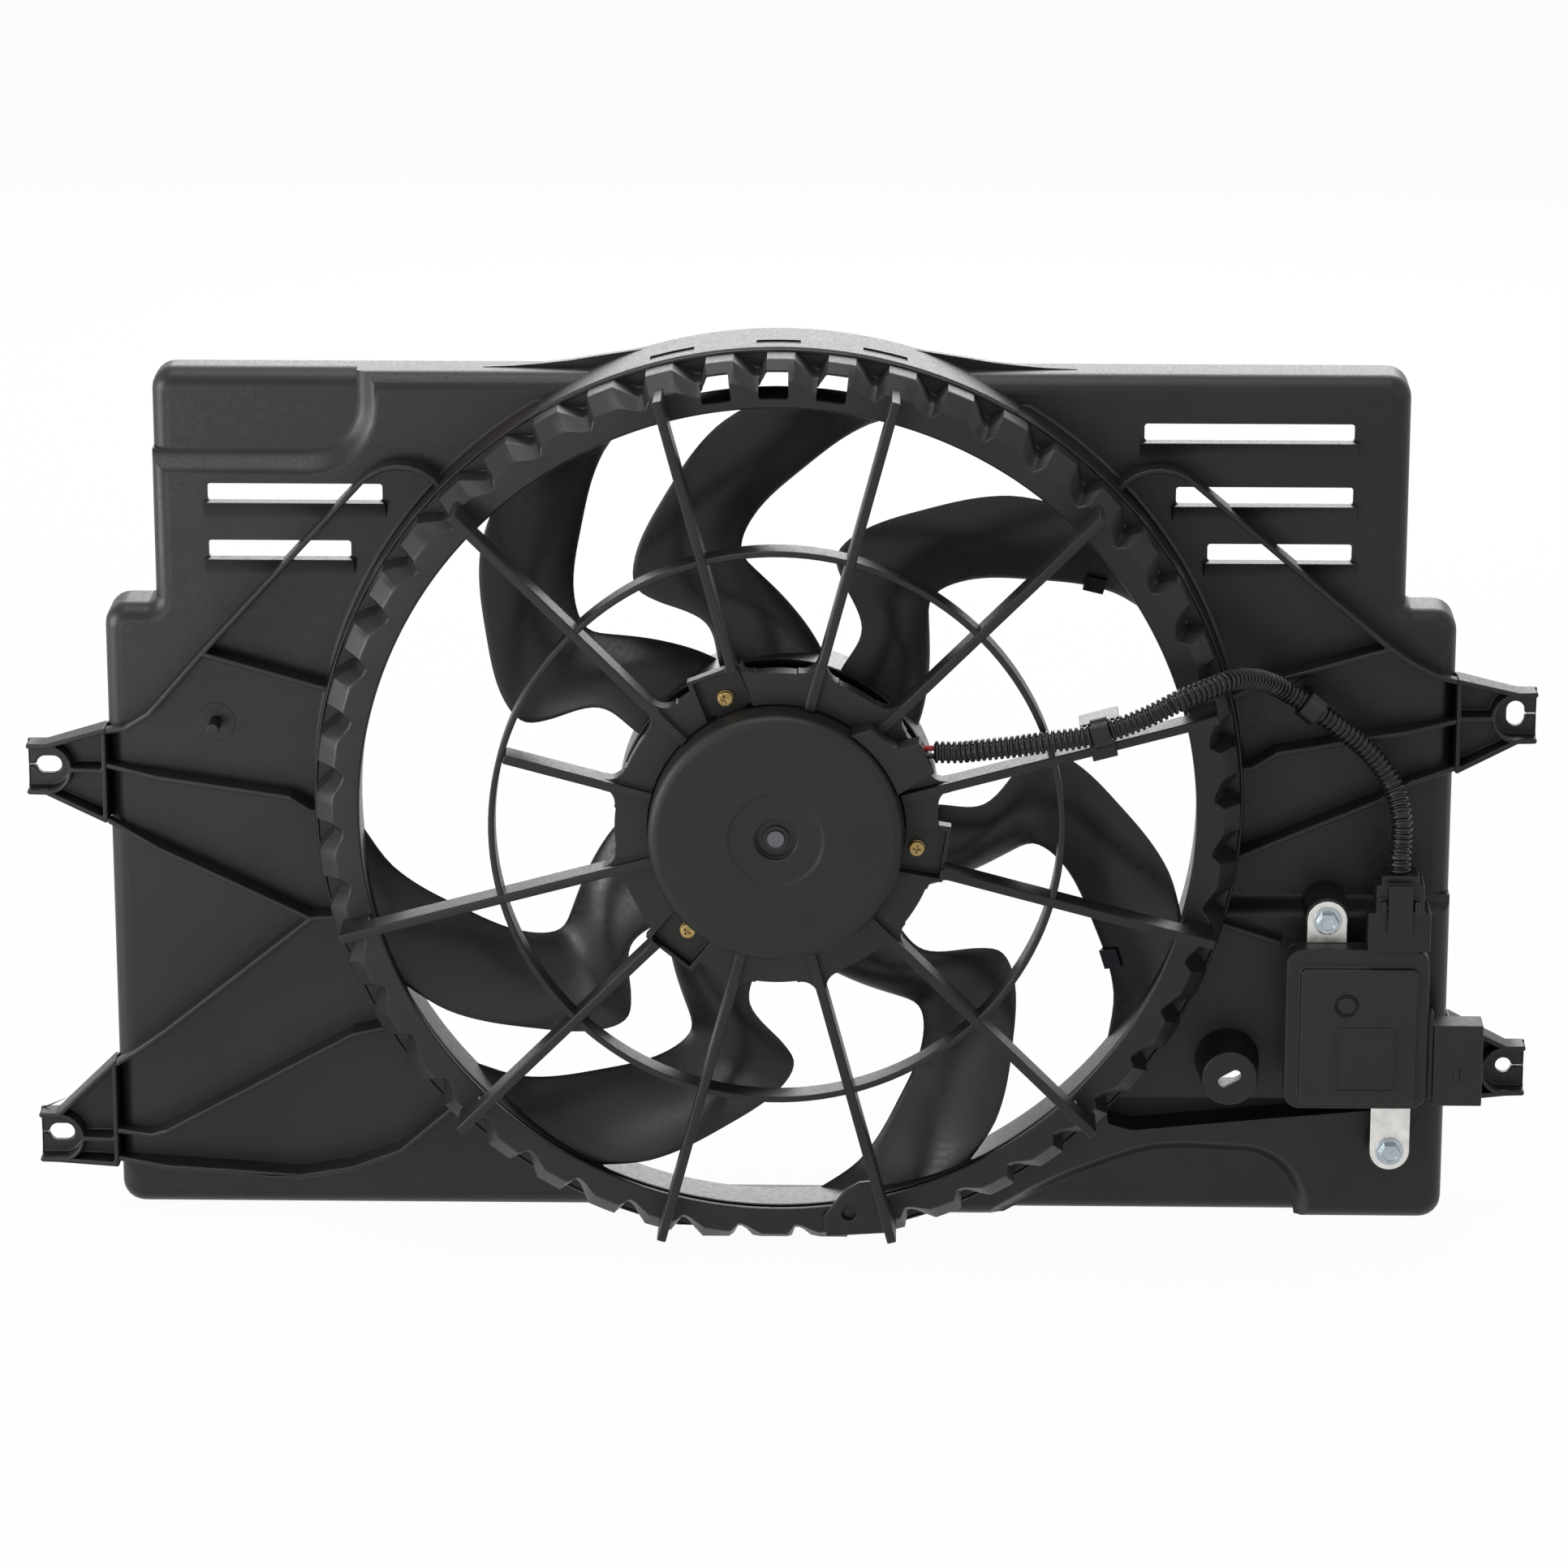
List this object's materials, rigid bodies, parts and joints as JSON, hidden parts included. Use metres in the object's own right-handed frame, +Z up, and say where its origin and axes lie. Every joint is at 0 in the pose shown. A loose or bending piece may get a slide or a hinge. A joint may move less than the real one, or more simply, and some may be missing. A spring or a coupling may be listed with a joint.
{
  "type": "radiator fan",
  "caption": "Radiator cooling fan: moulded shroud with ears and vents, armed stator, ringed fan on an electric motor, control module and clipped motor lead.",
  "frame": {"origin": "on the fan's axis of rotation, in the plane of the rim that meets the radiator", "axes": "+X to the right and +Z up as seen from the motor side; +Y along the fan axis towards the radiator"},
  "size_m": [0.731, 0.113, 0.442],
  "materials": {
    "shroud_plastic": "fine-grained moulded black, slightly satin on the edges",
    "fan_plastic": "smooth black moulding, soft gloss",
    "motor_black": "black coated steel",
    "cap_plastic": "matt black",
    "steel": "bright steel",
    "zinc_steel": "white zinc plated",
    "yellow_zinc": "yellow zinc plated",
    "spring_steel": "dark spring steel",
    "ferrite": "dull sintered ferrite",
    "core_steel": "stacked laminations",
    "copper": "enamelled copper wire",
    "carbon": "carbon",
    "card": "phenolic board",
    "aluminium": "cast, satin",
    "board": "solder mask",
    "chips": "moulded packages",
    "gasket": "matt",
    "module_plastic": "fine spark texture, black",
    "terminal": "tin plated",
    "insert_brass": "turned brass",
    "seal": "silicone",
    "conduit_plastic": "corrugated, soft gloss",
    "wire_red": "insulation",
    "wire_black": "insulation"
  },
  "bodies": {
    "shroud": {"shroud_panel": "shroud_plastic", "fan_barrel": "shroud_plastic", "stator_arms": "shroud_plastic", "stator_ring": "shroud_plastic", "motor_flange": "shroud_plastic", "cable_tab": "shroud_plastic", "panel_ribs": "shroud_plastic", "hook_rib_left": "shroud_plastic", "hook_rib_right": "shroud_plastic", "ear_left_upper": "shroud_plastic", "ear_left_lower": "shroud_plastic", "ear_right_upper": "shroud_plastic", "ear_right_lower": "shroud_plastic", "motor_can": "motor_black", "motor_end_cap": "cap_plastic", "motor_lead_cover": "cap_plastic", "motor_screws": "yellow_zinc", "lead_wire_red": "wire_red", "lead_wire_black": "wire_black", "magnets": "ferrite", "front_bearing": "steel", "rear_bearing": "steel", "brush_card": "card", "brushes": "carbon", "module_bracket": "zinc_steel", "module_heat_sink": "aluminium", "module_gasket": "gasket", "module_board": "board", "module_parts": "chips", "module_cover": "module_plastic", "module_header": "module_plastic", "header_pins": "terminal", "power_socket": "module_plastic", "power_blades": "terminal", "module_bolts": "zinc_steel", "boss_inserts": "insert_brass", "motor_plug": "module_plastic", "plug_seal": "seal", "plug_terminals": "terminal", "conduit": "conduit_plastic", "conduit_clip_arm": "conduit_plastic", "conduit_clip_panel": "conduit_plastic"},
    "rotor": {"shaft": "steel", "armature_core": "core_steel", "windings": "copper", "commutator": "copper", "fan_hub": "fan_plastic", "fan_blades": "fan_plastic", "fan_ring": "fan_plastic", "drive_washer": "steel", "fan_nut": "zinc_steel", "balance_clips": "spring_steel"},
    "latch": {"plug_latch": "module_plastic"}
  },
  "joints": [
    {"name": "fan_spin", "type": "hinge", "parent": "shroud", "child": "rotor", "pos_m": [0, 0, 0], "axis": [0, 1, 0], "continuous": true},
    {"name": "latch_press", "type": "hinge", "parent": "shroud", "child": "latch", "pos_m": [0.2985, -0.0767, -0.043], "axis": [1, 0, 0], "range_deg": [-6, 0], "stiffness_Nm_per_rad": 0.2}
  ]
}
